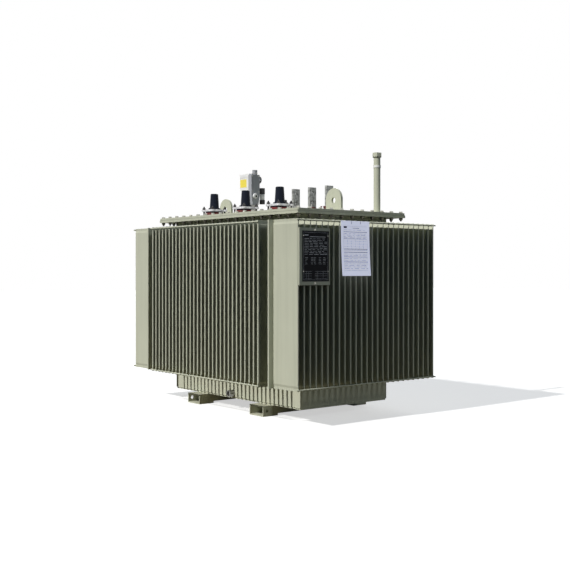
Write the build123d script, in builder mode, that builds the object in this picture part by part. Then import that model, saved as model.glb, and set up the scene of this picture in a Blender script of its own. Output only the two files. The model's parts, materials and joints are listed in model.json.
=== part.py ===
from build123d import *
import os

os.makedirs("parts", exist_ok=True)

# Oil-filled distribution transformer: a rectangular tank on two hollow skids,
# with four corrugated fin walls, a bolted cover and its bushings and fittings.
# X runs along the long side, the high-voltage bushings are on the -Y side,
# Z is up and the ground is at zero.

# Tank box
tank_length = 1250.0
tank_width = 660.0
box_wall = 6.0
bottom_plate_thickness = 10.0
bottom_plate_inset = 3.0
lower_box_height = 124.0
neck_height = 38.0

# Corrugated walls
sheet = 1.5
fin_height = 900.0
fin_thickness = 10.0
fin_tip_chamfer = 2.5
fin_seam_height = 15.0
fin_taper_height = 12.0
side_fin_depth = 232.0
side_fin_count = 29
side_fin_margin = 82.0
end_fin_depth = 204.0
end_fin_count = 26
end_fin_margin = 35.0
wing_reach = 219.0
wing_lip = 10.0

# Rods that hold the fin tips
rod_diameter = 8.0
rod_drop = 8.0
rod_overhang = 13.0
seat_gap = 0.3

# Flange and cover
flange_thickness = 13.0
gasket_thickness = 3.0
gasket_inset = 8.0
cover_thickness = 12.0
cover_reach_end = 77.0
cover_reach_side = 82.0
cover_corner_radius = 10.0

# Skids
skid_height = 60.0
skid_width = 128.0
skid_wall = 6.0
skid_spacing = 640.0
skid_reach = 70.0
foot_length = 105.0
foot_drop = 12.0
pulling_hole_radius = 11.0
pulling_hole_setback = 28.0

# High-voltage bushings, black plug-in cones
hv_count = 3
hv_spacing = 330.0
hv_setback = 92.0
hv_gasket_radius = 57.0
hv_gasket_height = 26.0
hv_flange_radius = 55.0
hv_flange_height = 8.0
hv_collar_radius = 37.0
hv_collar_height = 22.0
hv_cone_base_radius = 29.5
hv_cone_top_radius = 24.0
hv_cone_height = 90.0
hv_edge_chamfer = 2.5
clamp_radius = 61.0
clamp_height = 12.0
clamp_clearance = 2.0
clamp_ear_count = 4
clamp_ear_radius = 15.0
clamp_ear_circle = 66.0
clamp_ear_turn = 45.0
clamp_hole_radius = 7.0

# Low-voltage bushings with flag palms
lv_count = 4
lv_spacing = 160.0
lv_setback = 107.0
lv_base_radius = 40.0
lv_base_height = 12.0
lv_body_radius = 27.0
lv_shed_count = 2
lv_shed_radius = 34.0
lv_shed_height = 10.0
lv_shed_gap = 8.0
lv_body_height = 60.0
palm_boss_radius = 21.0
palm_boss_height = 18.0
palm_width = 55.0
palm_thickness = 16.0
palm_height = 125.0
palm_hole_radius = 8.0
palm_hole_spacing = 62.0
palm_hole_drop = 30.0

# Lifting lugs, one near each end of the cover
lug_inset = 90.0
lug_width = 130.0
lug_height = 137.0
lug_thickness = 14.0
lug_hole_radius = 17.0
lug_hole_height = 67.0

# Protection relay
nut_sides = 6
relay_offset = 190.0
relay_setback = 300.0
relay_flange_radius = 45.0
relay_flange_height = 12.0
relay_pipe_radius = 17.0
relay_pipe_height = 53.0
relay_nut_radius = 26.0
relay_nut_height = 25.0
relay_depth = 33.0
relay_width = 65.0
relay_foot_width = 46.0
relay_taper_height = 60.0
relay_height = 192.0
relay_corner_radius = 5.0
relay_knob_radius = 16.0
relay_knob_height = 30.0
relay_knob_offset = 6.0
relay_dial_radius = 22.0
relay_dial_length = 12.0
relay_dial_drop = 31.0
relay_window_radius = 15.0
relay_window_length = 5.0
relay_window_height = 57.0
relay_window_offset = 5.0
relay_box_length = 100.0
relay_box_depth = 52.0
relay_box_height = 103.0
relay_box_rise = 6.0
relay_box_radius = 4.0
gauge_offset = 65.0
gauge_radius = 17.5
gauge_waist_radius = 14.0
gauge_cap_height = 38.0
gauge_cup_height = 26.0
gauge_height = 102.0
gauge_rise = 8.0
gauge_stub_radius = 7.0
gauge_stub_height = 91.0

# Tap changer knob
tap_offset = 200.0
tap_setback = 230.0
tap_flange_radius = 38.0
tap_flange_height = 12.0
tap_body_radius = 24.0
tap_body_height = 56.0
tap_grip_radius = 17.0
tap_grip_height = 16.0
tap_edge_chamfer = 2.0

# Filler pipe at the rear right corner
filler_inset_end = 45.0
filler_inset_side = 30.0
filler_radius = 20.0
filler_bore_radius = 16.0
filler_height = 336.0
filler_collar_radius = 22.0
filler_collar_height = 17.0
filler_collar_drop = 66.0
filler_cap_radius = 30.0
filler_cap_height = 24.0
filler_cap_chamfer = 2.5
filler_cap_turn = 15.0

# Drain socket low on the front wall
drain_height = 20.0
drain_radius = 20.0
drain_length = 36.0
drain_bore_radius = 15.5
drain_bore_depth = 22.0
drain_hex_radius = 10.0
drain_hex_length = 12.0

# Core and windings, sealed inside the tank
limb_count = 3
limb_width = 190.0
yoke_height = 190.0
winding_gap = 20.0
winding_end_clearance = 50.0
core_head_clearance = 68.0
core_foot_clearance = 70.0
core_foot_width = 60.0
core_foot_height = 30.0

# Rating plate on its bracket, and the paper sheet beside it
bracket_width = 212.0
bracket_height = 300.0
bracket_depth = 8.0
bracket_sheet = 2.0
bracket_margin = 34.0
bracket_drop = 48.0
plate_width = 184.0
plate_height = 264.0
plate_thickness = 2.0
plate_shift = 5.0
plate_rise = 2.0
paper_width = 210.0
paper_height = 297.0
paper_thickness = 1.0
paper_bow = 4.0
paper_lift = 13.0
paper_gap = 78.0
paper_drop = 3.0

# Heights above the ground
bottom_plate_z = skid_height
lower_box_z = bottom_plate_z + bottom_plate_thickness
fin_z = lower_box_z + lower_box_height
neck_z = fin_z + fin_height
flange_z = neck_z + neck_height
gasket_z = flange_z + flange_thickness
cover_z = gasket_z + gasket_thickness
cover_top = cover_z + cover_thickness

# Levels in one fin, from its lower end
fin_full_low = fin_seam_height + fin_taper_height
fin_taper_top = fin_height - fin_seam_height
fin_full_top = fin_taper_top - fin_taper_height

# The paper sheet stands out further than the rods, on the right side only,
# so the tank stands a little left of the origin to keep the whole centred.
rod_reach = seat_gap + rod_diameter
paper_reach = rod_reach + seat_gap + paper_lift + paper_thickness
tank_x = (rod_reach - paper_reach) / 2
end_wall_width = tank_width + 2 * wing_reach
right_tip_x = tank_x + tank_length / 2 + end_fin_depth


def write(piece, label):
    piece.label = label
    export_step(piece, f"parts/{label}.step")


def upright(x, y, z):
    """A level plane at a place given from the middle of the tank."""
    return Plane(origin=(tank_x + x, y, z))


def frame_ring(length, width, wall_x, wall_y, z, height, label):
    with BuildPart() as ring:
        with BuildSketch(upright(0, 0, z)):
            Rectangle(length, width)
            Rectangle(length - 2 * wall_x, width - 2 * wall_y, mode=Mode.SUBTRACT)
        extrude(amount=height)
    write(ring.part, label)


def fin(depth):
    """One folded fin, its root at the origin, along -Y: both its ends are pinched to a seam."""
    half = fin_thickness / 2
    with BuildPart() as piece:
        with BuildSketch(Plane.XZ):
            with BuildLine():
                rising = [(sheet, 0), (sheet, fin_seam_height), (half, fin_full_low)]
                falling = [(half, fin_full_top), (sheet, fin_taper_top), (sheet, fin_height)]
                right_edge = rising + falling
                Polyline(*right_edge, *[(-x, y) for x, y in reversed(right_edge)], close=True)
            make_face()
        extrude(amount=depth)
        with BuildSketch() as plan:
            with Locations((0, -depth / 2)):
                Rectangle(fin_thickness, depth)
            chamfer(plan.vertices().group_by(Axis.Y)[0], length=fin_tip_chamfer)
        extrude(amount=fin_height, mode=Mode.INTERSECT)
    return piece.part


def fin_channel(depth):
    """The oil space in one fin, open towards the tank."""
    half = fin_thickness / 2 - sheet
    with BuildPart() as space:
        with BuildSketch(Plane.XZ.offset(-sheet)):
            with BuildLine():
                Polyline(
                    (0, fin_seam_height),
                    (half, fin_full_low),
                    (half, fin_full_top),
                    (0, fin_taper_top),
                    (-half, fin_full_top),
                    (-half, fin_full_low),
                    close=True,
                )
            make_face()
        extrude(amount=depth)
    return space.part


def fin_wall(plane, width, count, margin, depth, lip, label):
    """A folded sheet: its fins point along the plane's -Y and hold oil inside."""
    pitch = (width - 2 * margin) / (count - 1)
    folded = fin(depth)
    hollow = fin_channel(depth)
    places = [plane.location * spot for spot in GridLocations(pitch, 0, count, 1)]
    with BuildPart() as wall:
        with BuildSketch(plane):
            with Locations((0, sheet / 2)):
                Rectangle(width, sheet)
            if lip > 0:
                with Locations((0, lip / 2)):
                    with GridLocations(width - sheet, 0, 2, 1):
                        Rectangle(sheet, lip)
        extrude(amount=fin_height)
        with Locations(*places):
            add(folded)
            add(hollow, mode=Mode.SUBTRACT)
    write(wall.part, label)


def fin_rods(plane, width, count, margin, depth, label):
    """Two round rods across the tips of a bank, near its top and bottom."""
    length = width - 2 * margin + 2 * rod_overhang
    with BuildPart() as rods:
        for level in (rod_drop, fin_height - rod_drop):
            centre = plane.offset(level).location * Location((0, -depth - seat_gap - rod_diameter / 2, 0))
            with Locations(centre):
                Cylinder(rod_diameter / 2, length, rotation=(0, 90, 0))
    write(rods.part, label)


# Skids: hollow beams, open at both ends, each end deeper than the middle
skid_length = tank_width + 2 * skid_reach


def skid_points(inset):
    """Side profile of a skid with its two feet, drawn inset by the wall."""
    half = skid_length / 2
    step = half - foot_length + inset
    return [
        (-half, inset),
        (-step, inset),
        (-step, foot_drop + inset),
        (step, foot_drop + inset),
        (step, inset),
        (half, inset),
        (half, skid_height - inset),
        (-half, skid_height - inset),
    ]


for name, side in (("skid_left", -1), ("skid_right", 1)):
    skid_plane = Plane(origin=(tank_x + side * skid_spacing / 2, 0, 0), x_dir=(0, 1, 0), z_dir=(1, 0, 0))
    with BuildPart() as skid:
        with BuildSketch(skid_plane):
            with BuildLine():
                Polyline(*skid_points(0), close=True)
            make_face()
        extrude(amount=skid_width / 2, both=True)
        with BuildSketch(skid_plane):
            with BuildLine():
                Polyline(*skid_points(skid_wall), close=True)
            make_face()
        extrude(amount=skid_width / 2 - skid_wall, both=True, mode=Mode.SUBTRACT)
        with BuildSketch(skid_plane):
            with Locations((0, skid_height / 2)):
                with GridLocations(skid_length - 2 * pulling_hole_setback, 0, 2, 1):
                    Circle(pulling_hole_radius)
        extrude(amount=side * skid_width / 2, mode=Mode.SUBTRACT)
    write(skid.part, name)

with BuildPart() as bottom_plate:
    with BuildSketch(upright(0, 0, bottom_plate_z)):
        Rectangle(tank_length - 2 * bottom_plate_inset, tank_width - 2 * bottom_plate_inset)
    extrude(amount=bottom_plate_thickness)
write(bottom_plate.part, "bottom_plate")

frame_ring(tank_length, tank_width, box_wall, box_wall, lower_box_z, lower_box_height, "lower_box")

# Corrugated walls and their rods
half_length = tank_length / 2
half_width = tank_width / 2
front_plane = Plane(origin=(tank_x, -half_width, fin_z), x_dir=(1, 0, 0), z_dir=(0, 0, 1))
rear_plane = Plane(origin=(tank_x, half_width, fin_z), x_dir=(-1, 0, 0), z_dir=(0, 0, 1))
right_plane = Plane(origin=(tank_x + half_length, 0, fin_z), x_dir=(0, 1, 0), z_dir=(0, 0, 1))
left_plane = Plane(origin=(tank_x - half_length, 0, fin_z), x_dir=(0, -1, 0), z_dir=(0, 0, 1))
side_sheet_width = tank_length - 2 * sheet
side_sheet_margin = side_fin_margin - sheet

for name, plane in (("front", front_plane), ("rear", rear_plane)):
    fin_wall(
        plane, side_sheet_width, side_fin_count, side_sheet_margin, side_fin_depth, 0, f"{name}_fin_wall"
    )
    fin_rods(plane, side_sheet_width, side_fin_count, side_sheet_margin, side_fin_depth, f"{name}_fin_rods")
for name, plane in (("right", right_plane), ("left", left_plane)):
    fin_wall(
        plane, end_wall_width, end_fin_count, end_fin_margin, end_fin_depth, wing_lip, f"{name}_fin_wall"
    )
    fin_rods(plane, end_wall_width, end_fin_count, end_fin_margin, end_fin_depth, f"{name}_fin_rods")

# Neck, flange, gasket and cover
frame_ring(tank_length, tank_width, box_wall, box_wall, neck_z, neck_height, "neck_frame")
cover_length = tank_length + 2 * cover_reach_end
cover_width = tank_width + 2 * cover_reach_side
frame_ring(
    cover_length,
    cover_width,
    cover_reach_end + box_wall,
    cover_reach_side + box_wall,
    flange_z,
    flange_thickness,
    "tank_flange",
)
frame_ring(
    cover_length - 2 * gasket_inset,
    cover_width - 2 * gasket_inset,
    cover_reach_end + box_wall - gasket_inset,
    cover_reach_side + box_wall - gasket_inset,
    gasket_z,
    gasket_thickness,
    "cover_gasket",
)
with BuildPart() as cover:
    with BuildSketch(upright(0, 0, cover_z)):
        RectangleRounded(cover_length, cover_width, cover_corner_radius)
    extrude(amount=cover_thickness)
write(cover.part, "cover")

# High-voltage bushings
hv_y = -half_width + hv_setback
hv_flange_z = cover_top + hv_gasket_height
clamp_z = hv_flange_z + hv_flange_height
collar_top = clamp_z + hv_collar_height
hv_top = collar_top + hv_cone_height
hv_places = [((i - (hv_count - 1) / 2) * hv_spacing, hv_y) for i in range(hv_count)]

with BuildPart() as hv_gaskets:
    for x, y in hv_places:
        with BuildSketch(upright(x, y, cover_top)):
            Circle(hv_gasket_radius)
        extrude(amount=hv_gasket_height)
write(hv_gaskets.part, "hv_gaskets")


def turned(x, y, profile, edge, label):
    """A piece turned about an upright axis, from radii and heights, its top edge chamfered."""
    axis = Axis((tank_x + x, y, 0), (0, 0, 1))
    with BuildPart() as piece:
        with BuildSketch(Plane(origin=axis.position, x_dir=(1, 0, 0), z_dir=(0, -1, 0))):
            with BuildLine():
                Polyline((0, profile[0][1]), *profile, (0, profile[-1][1]), close=True)
            make_face()
        revolve(axis=axis)
        if edge > 0:
            chamfer(piece.edges().filter_by(GeomType.CIRCLE).group_by(Axis.Z)[-1], length=edge)
    write(piece.part, label)


def hv_bushing(x, y, label):
    profile = [
        (hv_flange_radius, hv_flange_z),
        (hv_flange_radius, clamp_z),
        (hv_collar_radius, clamp_z),
        (hv_collar_radius, collar_top),
        (hv_cone_base_radius, collar_top),
        (hv_cone_top_radius, hv_top),
    ]
    turned(x, y, profile, hv_edge_chamfer, label)


def clamp_ring(x, y, label):
    """A light metal ring with ears for the studs, pressed on the bushing's flange."""
    with BuildPart() as ring:
        with BuildSketch(upright(x, y, clamp_z)):
            Circle(clamp_radius)
            with PolarLocations(clamp_ear_circle, clamp_ear_count, clamp_ear_turn):
                Circle(clamp_ear_radius)
            Circle(hv_collar_radius + clamp_clearance, mode=Mode.SUBTRACT)
            with PolarLocations(clamp_ear_circle, clamp_ear_count, clamp_ear_turn):
                Circle(clamp_hole_radius, mode=Mode.SUBTRACT)
        extrude(amount=clamp_height)
    write(ring.part, label)


for number, (x, y) in enumerate(hv_places, 1):
    hv_bushing(x, y, f"hv_bushing_{number}")
    clamp_ring(x, y, f"hv_clamp_ring_{number}")

# Low-voltage bushings, each with a flat palm to bolt a bar to
lv_y = half_width - lv_setback
lv_top = cover_top + lv_body_height
palm_top = lv_top + palm_height
lv_places = [((i - (lv_count - 1) / 2) * lv_spacing, lv_y) for i in range(lv_count)]


def lv_bushing(x, y, label):
    low = cover_top + lv_base_height
    profile = [(lv_base_radius, cover_top), (lv_base_radius, low), (lv_body_radius, low)]
    for _ in range(lv_shed_count):
        low += lv_shed_gap
        profile += [(lv_body_radius, low), (lv_shed_radius, low), (lv_body_radius, low + lv_shed_height)]
        low += lv_shed_height
    profile.append((lv_body_radius, lv_top))
    turned(x, y, profile, 0, label)


def lv_palm(x, y, label):
    with BuildPart() as palm:
        with BuildSketch(upright(x, y, lv_top)):
            Circle(palm_boss_radius)
        extrude(amount=palm_boss_height)
        face = Plane(origin=(tank_x + x, y, lv_top), x_dir=(0, 1, 0), z_dir=(1, 0, 0))
        with BuildSketch(face):
            with Locations((0, palm_height / 2)):
                Rectangle(palm_width, palm_height)
        extrude(amount=palm_thickness / 2, both=True)
        with BuildSketch(face):
            with Locations((0, palm_height - palm_hole_drop - palm_hole_spacing / 2)):
                with GridLocations(0, palm_hole_spacing, 1, 2):
                    Circle(palm_hole_radius)
        extrude(amount=palm_thickness, both=True, mode=Mode.SUBTRACT)
    write(palm.part, label)


for number, (x, y) in enumerate(lv_places, 1):
    lv_bushing(x, y, f"lv_bushing_{number}")
    lv_palm(x, y, f"lv_palm_{number}")

# Lifting lugs: arched plates welded across the cover's middle line
for name, side in (("lifting_lug_left", -1), ("lifting_lug_right", 1)):
    lug_x = tank_x + side * (half_length - lug_inset)
    lug_plane = Plane(origin=(lug_x, 0, cover_top), x_dir=(1, 0, 0), z_dir=(0, -1, 0))
    crown = lug_height - lug_width / 2
    with BuildPart() as lug:
        with BuildSketch(lug_plane):
            with Locations((0, crown / 2)):
                Rectangle(lug_width, crown)
            with Locations((0, crown)):
                Circle(lug_width / 2)
            with Locations((0, lug_hole_height)):
                Circle(lug_hole_radius, mode=Mode.SUBTRACT)
        extrude(amount=lug_thickness / 2, both=True)
    write(lug.part, name)

# Protection relay on its flanged pipe
relay_x = -relay_offset
relay_y = -half_width + relay_setback
pipe_z = cover_top + relay_flange_height
nut_z = cover_top + relay_pipe_height
relay_z = nut_z + relay_nut_height
relay_top = relay_z + relay_height

with BuildPart() as relay_base:
    with BuildSketch(upright(relay_x, relay_y, cover_top)):
        Circle(relay_flange_radius)
    extrude(amount=relay_flange_height)
    with BuildSketch(upright(relay_x, relay_y, pipe_z)):
        Circle(relay_pipe_radius)
    extrude(amount=nut_z - pipe_z)
    with BuildSketch(upright(relay_x, relay_y, nut_z)):
        RegularPolygon(relay_nut_radius, nut_sides)
    extrude(amount=relay_nut_height)
write(relay_base.part, "relay_base")

relay_face = Plane(origin=(tank_x + relay_x, relay_y, relay_z), x_dir=(0, 1, 0), z_dir=(1, 0, 0))
with BuildPart() as relay_body:
    with BuildSketch(relay_face) as outline:
        with BuildLine():
            Polyline(
                (-relay_foot_width / 2, 0),
                (relay_foot_width / 2, 0),
                (relay_width / 2, relay_taper_height),
                (relay_width / 2, relay_height),
                (-relay_width / 2, relay_height),
                (-relay_width / 2, relay_taper_height),
                close=True,
            )
        make_face()
        fillet(outline.vertices(), radius=relay_corner_radius)
    extrude(amount=relay_depth / 2, both=True)
    with BuildSketch(upright(relay_x, relay_y + relay_knob_offset, relay_top)):
        Circle(relay_knob_radius)
    extrude(amount=relay_knob_height)
    dial_z = relay_height - relay_dial_drop
    with BuildSketch(Plane(relay_face.location * Location((relay_width / 2, dial_z, 0), (0, 90, 0)))):
        Circle(relay_dial_radius)
    extrude(amount=relay_dial_length)
    with BuildSketch(relay_face.offset(relay_depth / 2)):
        with Locations((-relay_window_offset, relay_window_height)):
            Circle(relay_window_radius)
    extrude(amount=relay_window_length)
write(relay_body.part, "relay_body")

with BuildPart() as relay_terminal_box:
    box_x = relay_x - relay_depth / 2 - relay_box_length / 2
    with BuildSketch(upright(box_x, relay_y, relay_top + relay_box_rise - relay_box_height)):
        RectangleRounded(relay_box_length, relay_box_depth, relay_box_radius)
    extrude(amount=relay_box_height)
write(relay_terminal_box.part, "relay_terminal_box")

gauge_y = relay_y + gauge_offset
gauge_z = relay_z + gauge_rise
gauge_waist_low = gauge_z + gauge_cup_height
gauge_waist_high = gauge_z + gauge_height - gauge_cap_height
with BuildPart() as relay_gauge:
    with BuildSketch(upright(relay_x, gauge_y, gauge_z)):
        Circle(gauge_radius)
    extrude(amount=gauge_waist_low - gauge_z)
    with BuildSketch(upright(relay_x, gauge_y, gauge_waist_low)):
        Circle(gauge_waist_radius)
    extrude(amount=gauge_waist_high - gauge_waist_low)
    with BuildSketch(upright(relay_x, gauge_y, gauge_waist_high)):
        Circle(gauge_radius)
    extrude(amount=gauge_cap_height)
    stub_plane = Plane(origin=(tank_x + relay_x, gauge_y, relay_z + gauge_stub_height), z_dir=(0, -1, 0))
    with BuildSketch(stub_plane):
        Circle(gauge_stub_radius)
    extrude(amount=gauge_offset - relay_width / 2)
write(relay_gauge.part, "relay_gauge")

# Tap changer knob
tap_profile = [
    (tap_flange_radius, cover_top),
    (tap_flange_radius, cover_top + tap_flange_height),
    (tap_body_radius, cover_top + tap_flange_height),
    (tap_body_radius, cover_top + tap_flange_height + tap_body_height),
    (tap_grip_radius, cover_top + tap_flange_height + tap_body_height),
    (tap_grip_radius, cover_top + tap_flange_height + tap_body_height + tap_grip_height),
]
turned(tap_offset, -half_width + tap_setback, tap_profile, tap_edge_chamfer, "tap_changer")

# Filler pipe with its cap
filler_x = half_length - filler_inset_end
filler_y = half_width - filler_inset_side
filler_top = cover_top + filler_height
collar_z = filler_top - filler_collar_drop
with BuildPart() as filler_pipe:
    with BuildSketch(upright(filler_x, filler_y, cover_top)):
        Circle(filler_radius)
    extrude(amount=filler_height)
    with BuildSketch(upright(filler_x, filler_y, collar_z)):
        Circle(filler_collar_radius)
    extrude(amount=filler_collar_height)
    with BuildSketch(upright(filler_x, filler_y, cover_top)):
        Circle(filler_bore_radius)
    extrude(amount=filler_height, mode=Mode.SUBTRACT)
write(filler_pipe.part, "filler_pipe")

with BuildPart() as filler_cap:
    with BuildSketch(upright(filler_x, filler_y, filler_top)):
        RegularPolygon(filler_cap_radius, nut_sides, rotation=filler_cap_turn)
    extrude(amount=filler_cap_height)
    chamfer(filler_cap.edges().group_by(Axis.Z)[-1], length=filler_cap_chamfer)
write(filler_cap.part, "filler_cap")

# Drain socket low on the front wall, with a hexagon plug sunk in it
drain_plane = Plane(origin=(tank_x, -half_width, lower_box_z + drain_height), z_dir=(0, -1, 0))
with BuildPart() as drain_plug:
    with BuildSketch(drain_plane):
        Circle(drain_radius)
    extrude(amount=drain_length)
    with BuildSketch(drain_plane.offset(drain_length - drain_bore_depth)):
        Circle(drain_bore_radius)
        RegularPolygon(drain_hex_radius, nut_sides, mode=Mode.SUBTRACT)
    extrude(amount=drain_hex_length, mode=Mode.SUBTRACT)
    with BuildSketch(drain_plane.offset(drain_length - drain_bore_depth + drain_hex_length)):
        Circle(drain_bore_radius)
    extrude(amount=drain_bore_depth - drain_hex_length, mode=Mode.SUBTRACT)
write(drain_plug.part, "drain_plug")

# Core and windings: three wound limbs between two yokes, on feet that stand on the bottom plate
winding_room = tank_length - 2 * winding_end_clearance - (limb_count - 1) * winding_gap
winding_radius = winding_room / limb_count / 2
limb_spacing = 2 * winding_radius + winding_gap
core_length = (limb_count - 1) * limb_spacing + limb_width
core_z = lower_box_z + core_foot_height
core_height = cover_z - core_head_clearance - core_z
window_height = core_height - 2 * yoke_height
winding_height = window_height - 2 * winding_gap
core_foot_length = tank_width - 2 * core_foot_clearance
core_plane = Plane(origin=(tank_x, 0, core_z), x_dir=(1, 0, 0), z_dir=(0, -1, 0))
with BuildPart() as core_and_windings:
    with BuildSketch(core_plane):
        with Locations((0, core_height / 2)):
            Rectangle(core_length, core_height)
            with GridLocations(limb_spacing, 0, limb_count - 1, 1):
                Rectangle(limb_spacing - limb_width, window_height, mode=Mode.SUBTRACT)
    extrude(amount=limb_width / 2, both=True)
    with BuildSketch(upright(0, 0, core_z + yoke_height + winding_gap)):
        with GridLocations(limb_spacing, 0, limb_count, 1):
            Circle(winding_radius)
    extrude(amount=winding_height)
    with BuildSketch(upright(0, 0, lower_box_z)):
        with GridLocations(core_length - core_foot_width, 0, 2, 1):
            Rectangle(core_foot_width, core_foot_length)
    extrude(amount=core_foot_height)
write(core_and_windings.part, "core_and_windings")

# Rating plate on its folded bracket, against the right-hand fin tips
bracket_y = bracket_margin + bracket_width / 2 - end_wall_width / 2
bracket_z = neck_z - bracket_drop - bracket_height / 2
bracket_plane = Plane(origin=(right_tip_x + seat_gap, bracket_y, bracket_z), x_dir=(0, 1, 0), z_dir=(1, 0, 0))
with BuildPart() as rating_plate_bracket:
    with BuildSketch(bracket_plane):
        Rectangle(bracket_width, bracket_height)
    extrude(amount=bracket_depth)
    with BuildSketch(bracket_plane):
        Rectangle(bracket_width - 2 * bracket_sheet, bracket_height)
    extrude(amount=bracket_depth - bracket_sheet, mode=Mode.SUBTRACT)
write(rating_plate_bracket.part, "rating_plate_bracket")

with BuildPart() as rating_plate:
    with BuildSketch(bracket_plane.offset(bracket_depth)):
        with Locations((plate_shift, plate_rise)):
            Rectangle(plate_width, plate_height)
    extrude(amount=plate_thickness)
write(rating_plate.part, "rating_plate")

# Paper sheet that hangs from the top rod and curls away from the fins
paper_x = right_tip_x + rod_reach + seat_gap
paper_y = bracket_y + bracket_width / 2 + paper_gap + paper_width / 2
paper_top = neck_z - paper_drop
paper_low = paper_top - paper_height
paper_mid = (paper_top + paper_low) / 2
paper_mid_x = paper_lift / 2 - paper_bow
with BuildPart() as paper_sheet:
    with BuildSketch(Plane(origin=(paper_x, paper_y, 0), x_dir=(1, 0, 0), z_dir=(0, -1, 0))):
        with BuildLine():
            ThreePointArc((0, paper_top), (paper_mid_x, paper_mid), (paper_lift, paper_low))
            Line((paper_lift, paper_low), (paper_lift + paper_thickness, paper_low))
            ThreePointArc(
                (paper_lift + paper_thickness, paper_low),
                (paper_mid_x + paper_thickness, paper_mid),
                (paper_thickness, paper_top),
            )
            Line((paper_thickness, paper_top), (0, paper_top))
        make_face()
    extrude(amount=paper_width / 2, both=True)
write(paper_sheet.part, "paper_sheet")
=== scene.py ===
import json
import math
import random

import bmesh
import bpy
from mathutils import Matrix, Vector


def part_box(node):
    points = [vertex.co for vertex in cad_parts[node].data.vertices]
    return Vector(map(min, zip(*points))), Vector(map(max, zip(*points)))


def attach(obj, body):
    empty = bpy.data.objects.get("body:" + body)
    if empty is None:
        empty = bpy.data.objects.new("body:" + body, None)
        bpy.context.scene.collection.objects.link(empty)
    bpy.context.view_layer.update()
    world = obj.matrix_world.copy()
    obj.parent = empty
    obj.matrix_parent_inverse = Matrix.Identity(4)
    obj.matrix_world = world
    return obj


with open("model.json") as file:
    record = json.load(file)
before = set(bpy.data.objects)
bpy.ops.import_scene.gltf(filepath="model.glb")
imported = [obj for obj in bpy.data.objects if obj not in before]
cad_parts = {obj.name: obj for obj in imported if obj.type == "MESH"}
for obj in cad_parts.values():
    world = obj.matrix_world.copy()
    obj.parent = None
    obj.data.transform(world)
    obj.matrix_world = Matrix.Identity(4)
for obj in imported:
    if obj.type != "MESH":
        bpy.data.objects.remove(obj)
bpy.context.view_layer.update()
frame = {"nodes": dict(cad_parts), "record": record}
nodes = frame["nodes"]
dice = random.Random(7)

# Everything is in metres, in the frame of the CAD model: X along the long side,
# the high-voltage bushings on the -Y side, Z up and the ground at zero.
MM = 0.001
SHARP_ANGLE = math.radians(38)
WHITE = (1.0, 1.0, 1.0, 1.0)

FACING = {
    "up": Matrix.Identity(4),
    "down": Matrix.Rotation(math.pi, 4, "X"),
    "back": Matrix.Rotation(-math.pi / 2, 4, "X"),
    "right": Matrix.Rotation(math.pi / 2, 4, "Y"),
}


# Colours and node helpers

def colour(red, green, blue):
    """A display colour from 0 to 255 as the linear values that shaders take."""
    def linear(value):
        share = value / 255
        return share / 12.92 if share <= 0.04045 else ((share + 0.055) / 1.055) ** 2.4

    return (linear(red), linear(green), linear(blue), 1.0)


def scaled(tone, share):
    return tuple(share * value for value in tone[:3]) + (1.0,)


def noise(tree, scale, detail, stretch=(1.0, 1.0, 1.0)):
    """Noise fixed to the object, from 0 to 1; stretch squeezes it along an axis."""
    place = tree.nodes.new("ShaderNodeTexCoord")
    spread = tree.nodes.new("ShaderNodeMapping")
    speckle = tree.nodes.new("ShaderNodeTexNoise")
    spread.inputs["Scale"].default_value = stretch
    speckle.inputs["Scale"].default_value = scale
    speckle.inputs["Detail"].default_value = detail
    tree.links.new(place.outputs["Object"], spread.inputs["Vector"])
    tree.links.new(spread.outputs["Vector"], speckle.inputs["Vector"])
    return speckle.outputs[0]


def remap(tree, value, low, high, to_low=0.0, to_high=1.0):
    """A value between low and high spread over another range, and held at its ends."""
    node = tree.nodes.new("ShaderNodeMapRange")
    for name, number in (("From Min", low), ("From Max", high), ("To Min", to_low), ("To Max", to_high)):
        node.inputs[name].default_value = number
    tree.links.new(value, node.inputs["Value"])
    return node.outputs["Result"]


def blotches(tree, scale, detail, low, high, to_low=0.0, to_high=1.0, stretch=(1.0, 1.0, 1.0)):
    """Noise with its middle values, from low to high, spread over another range."""
    return remap(tree, noise(tree, scale, detail, stretch), low, high, to_low, to_high)


def gloss(tree, scale, detail, rough):
    """Roughness that wanders between two values."""
    return blotches(tree, scale, detail, 0.3, 0.7, *rough)


def combine(tree, operation, first, second):
    node = tree.nodes.new("ShaderNodeMath")
    node.operation = operation
    tree.links.new(first, node.inputs[0])
    tree.links.new(second, node.inputs[1])
    return node.outputs[0]


def mix(tree, factor, first, second):
    """A colour between two others; each may be a colour or another node's output."""
    node = tree.nodes.new("ShaderNodeMix")
    node.data_type = "RGBA"
    tree.links.new(factor, node.inputs[0])
    for value, socket in ((first, node.inputs[6]), (second, node.inputs[7])):
        if isinstance(value, tuple):
            socket.default_value = value
        else:
            tree.links.new(value, socket)
    return node.outputs[2]


def bump(tree, height, distance, strength, below=None):
    node = tree.nodes.new("ShaderNodeBump")
    node.inputs["Distance"].default_value = distance
    node.inputs["Strength"].default_value = strength
    tree.links.new(height, node.inputs["Height"])
    if below is not None:
        tree.links.new(below, node.inputs["Normal"])
    return node.outputs["Normal"]


def upward_part(tree, output):
    """The Z part of the surface's normal or position."""
    geometry = tree.nodes.new("ShaderNodeNewGeometry")
    split = tree.nodes.new("ShaderNodeSeparateXYZ")
    tree.links.new(geometry.outputs[output], split.inputs[0])
    return split.outputs["Z"]


def facing_up(tree):
    """1 on level faces that look up, 0 on upright ones."""
    return remap(tree, upward_part(tree, "Normal"), 0.5, 0.95)


def height_share(tree, low, high):
    """1 at the low height and 0 at the high one."""
    return remap(tree, upward_part(tree, "Position"), low, high, 1.0, 0.0)


def new_material(name):
    material = bpy.data.materials.new(name)
    material.use_nodes = True
    tree = material.node_tree
    return material, tree, tree.nodes["Principled BSDF"]


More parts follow.
